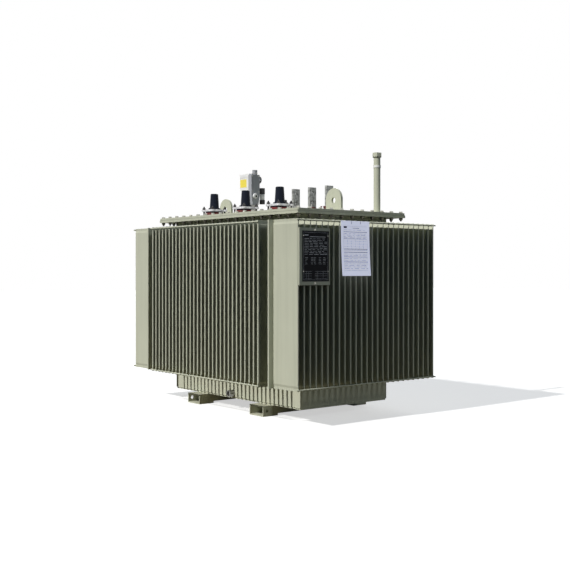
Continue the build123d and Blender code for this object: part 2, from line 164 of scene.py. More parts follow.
def connect(tree, shader, tone, rough, normal):
    for value, name in ((tone, "Base Color"), (rough, "Roughness"), (normal, "Normal")):
        tree.links.new(value, shader.inputs[name])


# Materials

SPLASH_HEIGHTS = (0.02, 0.26)


def paint(name, base, deep, dust, rough=(0.36, 0.5)):
    """Satin paint: orange peel, slow unevenness, fine streaks, and dust where it can lie."""
    material, tree, shader = new_material(name)
    shader.inputs["Specular IOR Level"].default_value = 0.07
    tone = mix(tree, blotches(tree, 3.0, 5.0, 0.35, 0.7), base, scaled(base, 0.93))
    streaks = blotches(tree, 1.0, 6.0, 0.42, 0.75, 0.0, 0.4, (45.0, 45.0, 1.6))
    tone = mix(tree, streaks, tone, deep)
    dusty = blotches(tree, 9.0, 8.0, 0.42, 0.68, 0.0, 0.5)
    tone = mix(tree, combine(tree, "MULTIPLY", facing_up(tree), dusty), tone, dust)
    splashed = blotches(tree, 14.0, 8.0, 0.45, 0.72, 0.0, 0.55)
    low_down = height_share(tree, *SPLASH_HEIGHTS)
    tone = mix(tree, combine(tree, "MULTIPLY", low_down, splashed), tone, dust)
    wavy = bump(tree, noise(tree, 5.0, 2.0), 4 * MM, 0.06)
    peel = bump(tree, noise(tree, 420.0, 2.0), 0.3 * MM, 0.1, wavy)
    connect(tree, shader, tone, gloss(tree, 22.0, 6.0, rough), peel)
    return material


def plain(name, base, worn, rough, metallic=0.0, patch=12.0, grain=300.0, depth=0.3, shine=0.4):
    """A moulded or plated surface: two tones, uneven gloss and a fine grain, its depth in mm."""
    material, tree, shader = new_material(name)
    shader.inputs["Metallic"].default_value = metallic
    shader.inputs["Specular IOR Level"].default_value = shine
    tone = mix(tree, blotches(tree, patch, 7.0, 0.4, 0.72, 0.0, 0.6), base, worn)
    fine = bump(tree, noise(tree, grain, 3.0), depth * MM, 0.35)
    connect(tree, shader, tone, gloss(tree, 3 * patch, 6.0, rough), fine)
    return material


def cast_metal(name, base, worn, rough, metallic=0.55):
    """Sand-cast metal: coarse grain over a slightly pitted skin."""
    material, tree, shader = new_material(name)
    shader.inputs["Metallic"].default_value = metallic
    tone = mix(tree, blotches(tree, 60.0, 8.0, 0.38, 0.66), base, worn)
    coarse = bump(tree, noise(tree, 160.0, 4.0), 0.6 * MM, 0.4)
    fine = bump(tree, noise(tree, 700.0, 2.0), 0.2 * MM, 0.4, coarse)
    connect(tree, shader, tone, gloss(tree, 90.0, 5.0, rough), fine)
    return material


PAPER_LIT = colour(236, 239, 252)
PAPER_SHADE = colour(220, 224, 242)
# The tint and strength of the paper's glow: painted light that brightens the sheet, though it is no lamp
PAPER_PAINTED_LIGHT_TINT = colour(214, 218, 242)
PAPER_PAINTED_LIGHT = 0.52


def paper_finish(name):
    """White paper in a thin clear sleeve, faintly wrinkled, that glows a little as painted light."""
    material, tree, shader = new_material(name)
    shader.inputs["Coat Weight"].default_value = 0.5
    shader.inputs["Coat Roughness"].default_value = 0.18
    # Painted light: the sheet glows a little
    shader.inputs["Emission Color"].default_value = PAPER_PAINTED_LIGHT_TINT
    shader.inputs["Emission Strength"].default_value = PAPER_PAINTED_LIGHT
    tone = mix(tree, blotches(tree, 16.0, 5.0, 0.35, 0.7), PAPER_LIT, PAPER_SHADE)
    folds = bump(tree, noise(tree, 14.0, 3.0, (1.0, 1.0, 0.45)), 5 * MM, 0.35)
    fibres = bump(tree, noise(tree, 900.0, 2.0), 0.1 * MM, 0.3, folds)
    connect(tree, shader, tone, gloss(tree, 300.0, 3.0, (0.55, 0.75)), fibres)
    return material


PAINT_LIT = colour(199, 201, 182)
PAINT_DEEP = colour(176, 179, 160)
PAINT_DUST = colour(186, 181, 160)

# One for each slot of the record
materials = {
    "tank_paint": paint("tank_paint", PAINT_LIT, PAINT_DEEP, PAINT_DUST),
    "gasket_rubber": plain("gasket_rubber", colour(166, 166, 150), colour(146, 145, 130), (0.6, 0.85)),
    "red_gasket": plain("red_gasket", colour(112, 31, 29), colour(70, 24, 24), (0.5, 0.75)),
    "black_epoxy": plain(
        "black_epoxy", colour(25, 30, 42), colour(36, 40, 52), (0.28, 0.44), depth=0.1, shine=0.08
    ),
    "cast_aluminium": cast_metal(
        "cast_aluminium", colour(214, 213, 216), colour(186, 186, 190), (0.4, 0.6)
    ),
    "brown_epoxy": plain(
        "brown_epoxy", colour(104, 52, 42), colour(78, 40, 34), (0.2, 0.35), depth=0.1
    ),
    "tinned_metal": cast_metal(
        "tinned_metal", colour(186, 187, 185), colour(112, 113, 111), (0.42, 0.62), 0.2
    ),
    "relay_grey": paint(
        "relay_grey", colour(172, 174, 180), colour(150, 152, 158), colour(168, 167, 164), (0.38, 0.52)
    ),
    "fitting_steel": plain(
        "fitting_steel", colour(150, 150, 146), colour(108, 105, 98), (0.32, 0.55), 0.75, 40.0, 500.0, 0.15
    ),
    "white_plastic": plain(
        "white_plastic", colour(240, 240, 240), colour(222, 222, 220), (0.38, 0.52), depth=0.1
    ),
    "black_plastic": plain(
        "black_plastic", colour(26, 26, 28), colour(44, 44, 46), (0.4, 0.6), depth=0.15
    ),
    "plate_face": plain(
        "plate_face", colour(24, 25, 28), colour(34, 35, 38), (0.45, 0.6), 0.0, 18.0, 800.0, 0.05, 0.04
    ),
    "paper": paper_finish("paper"),
    "core_steel": plain("core_steel", colour(120, 108, 92), colour(96, 84, 70), (0.5, 0.7)),
}
# Finishes of small pieces that differ from their slot's
extra = {
    "bolt_zinc": plain(
        "bolt_zinc", colour(188, 188, 180), colour(142, 138, 124), (0.3, 0.5), 0.7, 70.0, 900.0, 0.05
    ),
    # A darker copy of the zinc bolt finish, as painted shade, for the nuts in the shade under the flange
    "bolt_painted_shade": plain(
        "bolt_painted_shade", colour(104, 101, 90), colour(74, 71, 62), (0.4, 0.6), 0.6, 70.0, 900.0, 0.05
    ),
    "stud_dark": plain(
        "stud_dark", colour(54, 52, 52), colour(40, 38, 38), (0.35, 0.55), 0.3, 70.0, 900.0, 0.05
    ),
    "line_light": plain(
        "line_light", colour(226, 228, 232), colour(200, 202, 206), (0.45, 0.6), depth=0.05
    ),
    "line_ink": plain("line_ink", colour(36, 38, 58), colour(52, 55, 78), (0.6, 0.75), depth=0.05),
    "yellow_patch": plain(
        "yellow_patch", colour(246, 226, 92), colour(236, 214, 80), (0.4, 0.55), depth=0.05
    ),
    "wire": plain("wire", colour(52, 52, 54), colour(76, 76, 78), (0.4, 0.6), 0.4),
    "white_band": plain(
        "white_band", colour(238, 238, 236), colour(226, 226, 222), (0.4, 0.55), depth=0.05
    ),
    "lens": plain("lens", colour(14, 14, 16), colour(22, 22, 24), (0.08, 0.14), depth=0.02),
    "copper": plain(
        "copper", colour(196, 132, 98), colour(160, 102, 74), (0.3, 0.45), 0.9, 60.0, 600.0, 0.05
    ),
}

for part in frame["record"]["subparts"]:
    node = nodes[part["node"]]
    node.data.materials.clear()
    node.data.materials.append(materials[part["material_slot"]])


# Mesh helpers

def at(x, y, z, facing="up"):
    return Matrix.Translation((x, y, z)) @ FACING[facing]


def shifted(place, distance):
    return place @ Matrix.Translation((0.0, 0.0, distance))


def in_mm(*pairs):
    """A profile of (radius, height) pairs that are given in millimetres."""
    return [(radius * MM, height * MM) for radius, height in pairs]


def circle(radius, count, start=0.0):
    """Evenly spaced (x, y) points round the origin."""
    angles = [start + 2 * math.pi * step / count for step in range(count)]
    return [(radius * math.cos(angle), radius * math.sin(angle)) for angle in angles]


def places_round(middle, radius, count, start=0.0):
    """Evenly spaced (x, y) places round an upright axis."""
    return [(middle.x + x, middle.y + y) for x, y in circle(radius, count, start)]


def four_corners(middle, radius):
    return places_round(middle, radius, 4, math.radians(45))


def skin(shape, rings):
    """Faces from each ring of vertices to the next, and one across either end."""
    for low, high in zip(rings, rings[1:]):
        for step in range(len(low)):
            after = (step + 1) % len(low)
            shape.faces.new((low[step], low[after], high[after], high[step]))
    shape.faces.new(list(reversed(rings[0])))
    shape.faces.new(rings[-1])


def turn(shape, profile, place, sides, start=0.0):
    """A closed turned solid from (radius, height) pairs; few sides make it a hexagon or the like."""
    rings = []
    for radius, height in profile:
        points = [place @ Vector((x, y, height)) for x, y in circle(radius, sides, start)]
        rings.append([shape.verts.new(point) for point in points])
    skin(shape, rings)


def slab(shape, low, high, edge=0.0):
    """A box between two corners, its edges rounded by edge."""
    made = bmesh.ops.create_cube(shape, size=1.0)["verts"]
    low = Vector(low)
    high = Vector(high)
    for vertex in made:
        vertex.co = (low + high) / 2 + Vector(a * b for a, b in zip(vertex.co, high - low))
    if edge > 0:
        edges = list({e for vertex in made for e in vertex.link_edges})
        bmesh.ops.bevel(shape, geom=edges, offset=edge, segments=2, profile=0.6, affect="EDGES")


def tube(shape, points, radius, sides):
    """A round wire along points, closed at both ends."""
    points = [Vector(point) for point in points]
    rings = []
    side = None
    for index, point in enumerate(points):
        ahead = points[min(index + 1, len(points) - 1)] - points[max(index - 1, 0)]
        ahead.normalize()
        if side is None:
            side = ahead.orthogonal().normalized()
        side = (side - ahead * side.dot(ahead)).normalized()
        other = ahead.cross(side)
        rings.append([shape.verts.new(point + x * side + y * other) for x, y in circle(radius, sides)])
    skin(shape, rings)


BEAD_SIDES = 6
BEAD_RIPPLE = 7 * MM
BEAD_HOLLOW = 0.84
BEAD_SPREAD = (0.94, 1.06)


def bead(shape, start, end, radius, ripple=BEAD_RIPPLE):
    """A weld bead between two points, its radius rising and falling with each ripple."""
    start = Vector(start)
    way = Vector(end) - start
    place = Matrix.Translation(start) @ way.to_track_quat("Z", "Y").to_matrix().to_4x4()
    count = max(2, round(way.length / ripple))
    profile = []
    for step in range(count + 1):
        swell = (1.0 if step % 2 else BEAD_HOLLOW) * dice.uniform(*BEAD_SPREAD)
        profile.append((radius * swell, way.length * step / count))
    turn(shape, profile, place, BEAD_SIDES)


def ring_bead(shape, middle, z, ring_radius, radius, steps=40):
    """A smooth bead round an upright axis."""
    ring = [(x, y, z) for x, y in places_round(middle, ring_radius, steps)]
    tube(shape, ring + ring[:1], radius, BEAD_SIDES)


def add_piece(name, shape, slot, finish=None):
    """Turns a bmesh into a piece that rides on the root body; its finish is the slot's unless named."""
    bmesh.ops.recalc_face_normals(shape, faces=shape.faces)
    for face in shape.faces:
        face.smooth = True
    for edge in shape.edges:
        edge.smooth = edge.is_manifold and edge.calc_face_angle() < SHARP_ANGLE
    mesh = bpy.data.meshes.new(name)
    shape.to_mesh(mesh)
    shape.free()
    mesh.materials.append(extra[finish] if finish else materials[slot])
    thing = bpy.data.objects.new(name, mesh)
    bpy.context.scene.collection.objects.link(thing)
    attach(thing, "root")


# Fasteners, with their measures as shares of the shank's diameter

WASHER_RADIUS = 1.05
WASHER_HEIGHT = 0.2
HEXAGON_RADIUS = 0.92
HEAD_HEIGHT = 0.64
NUT_HEIGHT = 0.82
NUT_TOP = WASHER_HEIGHT + NUT_HEIGHT
SHANK_RADIUS = 0.48


def hexagon(shape, place, radius, height, angle=0.0):
    """A hexagon head or nut with its corners chamfered at both ends."""
    edge = 0.14 * radius
    profile = [(radius - edge, 0.0), (radius, edge), (radius, height - edge), (radius - edge, height)]
    turn(shape, profile, place, 6, angle)


def stud(shape, place, radius, length):
    edge = 0.25 * radius
    turn(shape, [(radius, 0.0), (radius, length - edge), (radius - edge, length)], place, 12)


def hexagon_on_washer(shape, place, size, height):
    radius = WASHER_RADIUS * size
    thickness = WASHER_HEIGHT * size
    washer = [(radius, 0.0), (radius, 0.8 * thickness), (0.94 * radius, thickness)]
    turn(shape, washer, place, 20)
    angle = dice.uniform(0, math.pi)
    hexagon(shape, shifted(place, thickness), HEXAGON_RADIUS * size, height * size, angle)


def bolt_head(shape, place, size):
    hexagon_on_washer(shape, place, size, HEAD_HEIGHT)


def nut_and_end(shape, place, size, beyond):
    """A washer, a nut and the end of the bolt that stands out beyond it."""
    hexagon_on_washer(shape, place, size, NUT_HEIGHT)
    stud(shape, shifted(place, NUT_TOP * size), SHANK_RADIUS * size, beyond)


# Cover bolts, in a row round the edge

COVER_BOLT = 12 * MM
COVER_BOLT_INSET = 18 * MM
COVER_BOLT_PITCH = 80 * MM
COVER_BOLT_BEYOND = 8 * MM
BEYOND_SPREAD = (0.85, 1.15)


def row_of_places(low, high, pitch):
    count = round((high - low) / pitch)
    return [low + (high - low) * step / count for step in range(count + 1)]


def cover_bolt_places():
    low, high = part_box("cover")
    left, right = low.x + COVER_BOLT_INSET, high.x - COVER_BOLT_INSET
    front, rear = low.y + COVER_BOLT_INSET, high.y - COVER_BOLT_INSET
    places = []
    for x in row_of_places(left, right, COVER_BOLT_PITCH):
        places += [(x, front), (x, rear)]
    for y in row_of_places(front, rear, COVER_BOLT_PITCH)[1:-1]:
        places += [(left, y), (right, y)]
    return places


def cover_bolts():
    heads = bmesh.new()
    nuts = bmesh.new()
    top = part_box("cover")[1].z
    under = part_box("tank_flange")[0].z
    for x, y in cover_bolt_places():
        bolt_head(heads, at(x, y, top), COVER_BOLT)
        beyond = COVER_BOLT_BEYOND * dice.uniform(*BEYOND_SPREAD)
        nut_and_end(nuts, at(x, y, under, "down"), COVER_BOLT, beyond)
    add_piece("cover_bolt_heads", heads, "fitting_steel", "bolt_zinc")
    # The nuts under the flange take the darker copy of the zinc finish: painted shade
    add_piece("cover_bolt_nuts", nuts, "fitting_steel", "bolt_painted_shade")


# A line of sealant in the joint between flange and cover

JOINT_DEPTH = 8 * MM
JOINT_SETBACK = 0.8 * MM


def cover_joint():
    seal = bmesh.new()
    low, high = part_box("cover")
    under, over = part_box("tank_flange")[1].z, low.z
    left, right = low.x + JOINT_SETBACK, high.x - JOINT_SETBACK
    front, rear = low.y + JOINT_SETBACK, high.y - JOINT_SETBACK
    for y0, y1 in ((front, front + JOINT_DEPTH), (rear - JOINT_DEPTH, rear)):
        slab(seal, (left, y0, under), (right, y1, over))
    for x0, x1 in ((left, left + JOINT_DEPTH), (right - JOINT_DEPTH, right)):
        slab(seal, (x0, front, under), (x1, rear, over))
    add_piece("cover_joint_sealant", seal, "gasket_rubber")


# Weld seams

SEAM = 3 * MM
CORNER_SEAM = 1.8 * MM
NECK_SEAM = 1.4 * SEAM
COVER_SEAM = 1.3 * SEAM
FILLER_PIPE_RADIUS = 21 * MM


def rectangle_bead(shape, low, high, z, radius):
    corners = [(low.x, low.y, z), (high.x, low.y, z), (high.x, high.y, z), (low.x, high.y, z)]
    for start, end in zip(corners, corners[1:] + corners[:1]):
        bead(shape, start, end, radius)


def tank_seams():
    seams = bmesh.new()
    box_low, box_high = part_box("lower_box")
    neck_low, neck_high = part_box("neck_frame")
    rectangle_bead(seams, box_low, box_high, box_low.z, CORNER_SEAM)
    rectangle_bead(seams, box_low, box_high, box_high.z, SEAM)
    rectangle_bead(seams, neck_low, neck_high, neck_low.z, SEAM)
    rectangle_bead(seams, neck_low, neck_high, neck_high.z, NECK_SEAM)
    for x in (box_low.x, box_high.x):
        for y in (box_low.y, box_high.y):
            bead(seams, (x, y, box_low.z), (x, y, neck_high.z), CORNER_SEAM)
    add_piece("tank_seams", seams, "tank_paint")


def skid_seams():
    seams = bmesh.new()
    plate_low, plate_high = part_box("bottom_plate")
    for name in ("skid_left", "skid_right"):
        low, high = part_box(name)
        for x in (low.x, high.x):
            bead(seams, (x, plate_low.y, plate_low.z), (x, plate_high.y, plate_low.z), SEAM)
        for y in (plate_low.y, plate_high.y):
            bead(seams, (low.x, y, plate_low.z), (high.x, y, plate_low.z), SEAM)
    add_piece("skid_seams", seams, "tank_paint")


def cover_seams():
    seams = bmesh.new()
    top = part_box("cover")[1].z
    for name in ("lifting_lug_left", "lifting_lug_right"):
        low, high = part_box(name)
        for y in (low.y, high.y):
            bead(seams, (low.x, y, top), (high.x, y, top), COVER_SEAM)
        for x in (low.x, high.x):
            bead(seams, (x, low.y, top), (x, high.y, top), COVER_SEAM)
    low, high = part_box("filler_pipe")
    ring_bead(seams, (low + high) / 2, top, FILLER_PIPE_RADIUS, COVER_SEAM)
    add_piece("cover_seams", seams, "tank_paint")


# Fin tips: the rods are tacked to every tip, and each pinched end has a closing weld

ROD_OVERHANG = 13 * MM
ROD_RADIUS = 4 * MM
FIN_COUNTS = {"front": 29, "rear": 29, "left": 26, "right": 26}
TACK_RADIUS = 4.2 * MM
TACK_SPREAD = (0.8, 1.15)
TACK_REACH = 0.8 * ROD_RADIUS
TACK_PROFILE = ((0.5, -0.8), (1.0, 0.0), (0.5, 0.8))
CLOSING_WELD = 2.2 * MM
CLOSING_RIPPLE = 30 * MM


def fin_bank(name):
    """Which way a bank's row runs, the fins' places along it, and where their tips and roots are."""
    low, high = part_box(f"{name}_fin_rods")
    along = 1 if name in ("left", "right") else 0
    across = 1 - along
    first = low[along] + ROD_OVERHANG
    last = high[along] - ROD_OVERHANG
    count = FIN_COUNTS[name]
    places = [first + (last - first) * step / (count - 1) for step in range(count)]
    box_low, box_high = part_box("lower_box")
    if name in ("left", "front"):
        return along, places, high[across], box_low[across]
    return along, places, low[across], box_high[across]


def fin_point(along, place, across, z):
    return (across, place, z) if along == 1 else (place, across, z)


def fin_welds():
    tacks = bmesh.new()
    closing = bmesh.new()
    for name in FIN_COUNTS:
        along, places, tip, root = fin_bank(name)
        low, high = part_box(f"{name}_fin_wall")
        rod_low, rod_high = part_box(f"{name}_fin_rods")
        for place in places:
            for rod_z in (rod_low.z + ROD_RADIUS, rod_high.z - ROD_RADIUS):
                for side in (-1, 1):
                    radius = TACK_RADIUS * dice.uniform(*TACK_SPREAD)
                    profile = [(radius * wide, radius * tall) for wide, tall in TACK_PROFILE]
                    point = fin_point(along, place, tip, rod_z + side * TACK_REACH)
                    turn(tacks, profile, at(*point), 7)
            for z in (low.z + CLOSING_WELD, high.z - CLOSING_WELD):
                start = fin_point(along, place, root, z)
                bead(closing, start, fin_point(along, place, tip, z), CLOSING_WELD, CLOSING_RIPPLE)
    add_piece("rod_tacks", tacks, "tank_paint")
    add_piece("fin_closing_welds", closing, "tank_paint")


# High-voltage bushings: a stud in each ear, the contact in the cone's top, two rings on the collar

HV_STUD = 11 * MM
HV_STUD_CIRCLE = 66 * MM
HV_STUD_BEYOND = 6 * MM
HV_STUD_POINT = 4 * MM
HV_CONTACT = in_mm((12, -1), (12, 0.2), (10, 0.5), (8, 0.5), (7, -12))
COLLAR_RING_RADIUS = 37 * MM
COLLAR_RING_WIRE = 1.1 * MM
COLLAR_RING_LEVELS = (3 * MM, 6.4 * MM)


def hv_fittings():
    studs = bmesh.new()
    contacts = bmesh.new()
    rings = bmesh.new()
    cover_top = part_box("cover")[1].z
    for number in (1, 2, 3):
        low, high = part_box(f"hv_bushing_{number}")
        clamp_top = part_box(f"hv_clamp_ring_{number}")[1].z
        middle = (low + high) / 2
        for x, y in four_corners(middle, HV_STUD_CIRCLE):
            stud(studs, at(x, y, cover_top), 0.5 * HV_STUD, clamp_top - cover_top)
            hexagon(studs, at(x, y, cover_top), HEXAGON_RADIUS * HV_STUD, 0.8 * HV_STUD)
            nut_and_end(studs, at(x, y, clamp_top), HV_STUD, HV_STUD_BEYOND)
            point = at(x, y, clamp_top + NUT_TOP * HV_STUD + HV_STUD_BEYOND)
            turn(studs, [(0.34 * HV_STUD, 0.0), (0.12 * HV_STUD, HV_STUD_POINT)], point, 12)
        turn(contacts, HV_CONTACT, at(middle.x, middle.y, high.z), 28)
        for level in COLLAR_RING_LEVELS:
            ring_bead(rings, middle, clamp_top + level, COLLAR_RING_RADIUS, COLLAR_RING_WIRE, 48)
    add_piece("hv_stud_nuts", studs, "fitting_steel", "stud_dark")
    add_piece("hv_contacts", contacts, "fitting_steel", "copper")
    add_piece("hv_collar_rings", rings, "black_epoxy")


# Low-voltage bushings: a gasket under each, and nuts on its foot and on the palm's boss

LV_GASKET = in_mm((43, 0), (44, 2), (43, 4))
LV_FOOT_HEIGHT = 12 * MM
LV_FOOT_NUT = 6 * MM
LV_FOOT_NUT_REACH = 34 * MM
LV_BOSS_HEIGHT = 18 * MM
LV_BOSS_NUT = 5.5 * MM
LV_BOSS_NUT_REACH = 12 * MM
LV_NUT_HEIGHT = 5 * MM


def lv_fittings():
    gaskets = bmesh.new()
    nuts = bmesh.new()
    for number in (1, 2, 3, 4):
        low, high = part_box(f"lv_bushing_{number}")
        middle = (low + high) / 2
        turn(gaskets, LV_GASKET, at(middle.x, middle.y, low.z), 40)
        for side in (-1, 1):
            place = at(middle.x, middle.y + side * LV_FOOT_NUT_REACH, low.z + LV_FOOT_HEIGHT)
            hexagon(nuts, place, LV_FOOT_NUT, LV_NUT_HEIGHT)
        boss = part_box(f"lv_palm_{number}")[0].z + LV_BOSS_HEIGHT
        for side in (-1, 1):
            place = at(middle.x + side * LV_BOSS_NUT_REACH, middle.y, boss)
            hexagon(nuts, place, LV_BOSS_NUT, LV_NUT_HEIGHT)
    add_piece("lv_base_gaskets", gaskets, "red_gasket")
    add_piece("lv_nuts", nuts, "fitting_steel")


# Protection relay. The window, dial and screws are placed by their height above the body's foot.

RELAY_FLANGE_HEIGHT = 12 * MM
RELAY_BOLT = 8 * MM
RELAY_BOLT_CIRCLE = 34 * MM
RELAY_FACE = 16.5 * MM
RELAY_SCREW = in_mm((3.4, -1), (3.4, 1.2), (2.4, 2.2))
RELAY_SCREW_REACH = 24 * MM
RELAY_SCREW_HEIGHTS = (86 * MM, 182 * MM)
WINDOW_FACE = 21.5 * MM
WINDOW_OFFSET = 5 * MM
WINDOW_HEIGHT = 57 * MM
WINDOW_RIM = in_mm((17, -5), (17, 1), (15, 3.4), (11, 5), (7, 5.6))
WINDOW_LENS = in_mm((7, 0), (7, 5.6), (5, 6.6))
WINDOW_LENS_SHIFT = (2 * MM, 3 * MM, 0.0)
DIAL_HEIGHT = 161 * MM
DIAL_CAP = in_mm((22.6, -11.5), (23.4, -8), (23.4, -2), (21, 0.2))
GAUGE_RADIUS = 17.5 * MM
GAUGE_CUP_HEIGHT = 26 * MM
GAUGE_SLEEVE = in_mm((14.4, 0), (15.4, 1.5), (15.4, 36.5), (14.4, 38))


def relay_middle():
    low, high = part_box("relay_base")
    return (low + high) / 2


def relay_screws():
    screws = bmesh.new()
    middle = relay_middle()
    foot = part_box("relay_body")[0].z
    flange_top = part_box("cover")[1].z + RELAY_FLANGE_HEIGHT
    for x, y in four_corners(middle, RELAY_BOLT_CIRCLE):
        bolt_head(screws, at(x, y, flange_top), RELAY_BOLT)
    for side in (-1, 1):
        for height in RELAY_SCREW_HEIGHTS:
            place = at(middle.x + RELAY_FACE, middle.y + side * RELAY_SCREW_REACH, foot + height, "right")
            turn(screws, RELAY_SCREW, place, 14)
    add_piece("relay_screws", screws, "fitting_steel", "bolt_zinc")


def relay_window():
    rim = bmesh.new()
    lens = bmesh.new()
    middle = relay_middle()
    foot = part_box("relay_body")[0].z
    place = at(middle.x + WINDOW_FACE, middle.y - WINDOW_OFFSET, foot + WINDOW_HEIGHT, "right")
    turn(rim, WINDOW_RIM, place, 36)
    turn(lens, WINDOW_LENS, place @ Matrix.Translation(WINDOW_LENS_SHIFT), 28)
    add_piece("relay_window_rim", rim, "white_plastic")
    add_piece("relay_window_lens", lens, "black_plastic", "lens")


def relay_dial():
    dial = bmesh.new()
    low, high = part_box("relay_body")
    turn(dial, DIAL_CAP, at(relay_middle().x, high.y, low.z + DIAL_HEIGHT, "back"), 36)
    add_piece("relay_dial_cap", dial, "black_plastic")


def relay_gauge():
    sleeve = bmesh.new()
    low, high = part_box("relay_gauge")
    place = at((low.x + high.x) / 2, high.y - GAUGE_RADIUS, low.z + GAUGE_CUP_HEIGHT)
    turn(sleeve, GAUGE_SLEEVE, place, 32)
    add_piece("relay_gauge_sleeve", sleeve, "white_plastic")


BOX_LID_LIP = 1.5 * MM
BOX_LID_DEPTH = 24 * MM
BOX_LID_RISE = 2 * MM
BOX_LID_SHORT = 1 * MM
BOX_LID_EDGE = 2.5 * MM
PATCH_LEFT = 4.5 * MM
PATCH_RIGHT = 28 * MM
PATCH_LOW = 20 * MM
PATCH_HIGH = 71 * MM
PATCH_PROUD = 0.4 * MM


def relay_box():
    """The terminal box's lid, and a bare yellow patch on its front."""
    low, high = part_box("relay_terminal_box")
    lid = bmesh.new()
    slab(
        lid,
        (low.x - BOX_LID_LIP, low.y - BOX_LID_LIP, high.z - BOX_LID_DEPTH),
        (high.x - BOX_LID_SHORT, high.y + BOX_LID_LIP, high.z + BOX_LID_RISE),
        BOX_LID_EDGE,
    )
    add_piece("relay_box_lid", lid, "white_plastic")
    patch = bmesh.new()
    slab(
        patch,
        (low.x + PATCH_LEFT, low.y - PATCH_PROUD, low.z + PATCH_LOW),
        (high.x - PATCH_RIGHT, low.y + PATCH_PROUD, low.z + PATCH_HIGH),
    )
    add_piece("relay_box_patch", patch, "white_plastic", "yellow_patch")


GLAND_SHARES = (0.3, 0.7)
GLAND_NUT = 12 * MM
GLAND_END = in_mm((9.5, 8), (9.5, 16), (6.5, 21))
KNOB_NUT = 18.5 * MM
KNOB_NUT_DROP = 25 * MM
KNOB_OFFSET = 6 * MM
RELAY_NUT_HEIGHT = 8 * MM


def relay_glands():
    """Two cable glands under the terminal box, and the nut under the knob."""
    glands = bmesh.new()
    middle = relay_middle()
    low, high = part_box("relay_terminal_box")
    for share in GLAND_SHARES:
        place = at(low.x + share * (high.x - low.x), middle.y, low.z, "down")
        hexagon(glands, place, GLAND_NUT, RELAY_NUT_HEIGHT)
        turn(glands, GLAND_END, place, 20)
    knob_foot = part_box("relay_body")[1].z - KNOB_NUT_DROP
    hexagon(glands, at(middle.x, middle.y + KNOB_OFFSET, knob_foot), KNOB_NUT, RELAY_NUT_HEIGHT)
    add_piece("relay_glands", glands, "fitting_steel")


# Filler pipe: a white band on its collar and a seal under its cap

FILLER_BAND = in_mm((22.3, 0), (22.3, 13))
FILLER_BAND_DROP = 64 * MM
FILLER_CAP_SEAL = in_mm((25, -4), (25.6, -3), (25.6, -1), (25, 0))


def filler_fittings():
    pipe_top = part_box("filler_pipe")[1].z
    cap_low, cap_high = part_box("filler_cap")
    middle = (cap_low + cap_high) / 2
    band = bmesh.new()
    turn(band, FILLER_BAND, at(middle.x, middle.y, pipe_top - FILLER_BAND_DROP), 48)
    add_piece("filler_band", band, "white_plastic", "white_band")
    seal = bmesh.new()
    turn(seal, FILLER_CAP_SEAL, at(middle.x, middle.y, cap_low.z), 40)
    add_piece("filler_cap_seal", seal, "gasket_rubber")


# Two small red-capped sockets near the right lug

SOCKET_PLACES = ((152.8 * MM, 230 * MM), (178.8 * MM, 230 * MM))
SOCKET_HEIGHT = 64 * MM
SOCKET_NUT = 11 * MM
SOCKET_NUT_HEIGHT = 9 * MM
SOCKET_STEM = 4 * MM
SOCKET_STEM_FOOT = 8 * MM
SOCKET_CAP = in_mm((5, 0), (5.5, 1), (5.5, 10), (4, 12))
SOCKET_CAP_HEIGHT = 12 * MM


def capped_sockets():
    stems = bmesh.new()
    caps = bmesh.new()
    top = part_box("cover")[1].z
    for x, y in SOCKET_PLACES:
        hexagon(stems, at(x, y, top), SOCKET_NUT, SOCKET_NUT_HEIGHT)
        stud(stems, at(x, y, top + SOCKET_STEM_FOOT), SOCKET_STEM, SOCKET_HEIGHT - 2 * SOCKET_STEM_FOOT)
        turn(caps, SOCKET_CAP, at(x, y, top + SOCKET_HEIGHT - SOCKET_CAP_HEIGHT), 24)
    add_piece("socket_stems", stems, "fitting_steel")
    add_piece("socket_caps", caps, "red_gasket")


# Tap changer: its flange screws and the ribs of its grip

TAP_FLANGE_HEIGHT = 12 * MM
TAP_SCREW = 5 * MM
TAP_SCREW_CIRCLE = 31 * MM
TAP_RIB = in_mm((2, 4), (2.6, 8), (2.6, 50), (1.8, 54))
TAP_RIB_CIRCLE = 24 * MM
TAP_RIB_COUNT = 16


def tap_fittings():
    low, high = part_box("tap_changer")
    middle = (low + high) / 2
    flange_top = low.z + TAP_FLANGE_HEIGHT
    screws = bmesh.new()
    for x, y in four_corners(middle, TAP_SCREW_CIRCLE):
        bolt_head(screws, at(x, y, flange_top), TAP_SCREW)
    add_piece("tap_screws", screws, "fitting_steel", "bolt_zinc")
    ribs = bmesh.new()
    for x, y in places_round(middle, TAP_RIB_CIRCLE, TAP_RIB_COUNT):
        turn(ribs, TAP_RIB, at(x, y, flange_top), 8)
    add_piece("tap_ribs", ribs, "black_plastic")


# Broken rows of strokes, which stand for writing

STROKE_GAPS = (0.03, 0.07)


def strokes(first, last, end, lengths):
    """The start and end of each stroke in a row, as shares of its width, drawn one at a time."""
    share = first
    while share < last:
        length = dice.uniform(*lengths)
        yield share, min(share + length, end)
        share += length + dice.uniform(*STROKE_GAPS)


# Rating plate: plain ruled lines with no words, in a frame. Places across it are shares of
# the framed width; places up and down it are distances from the frame's top or bottom.

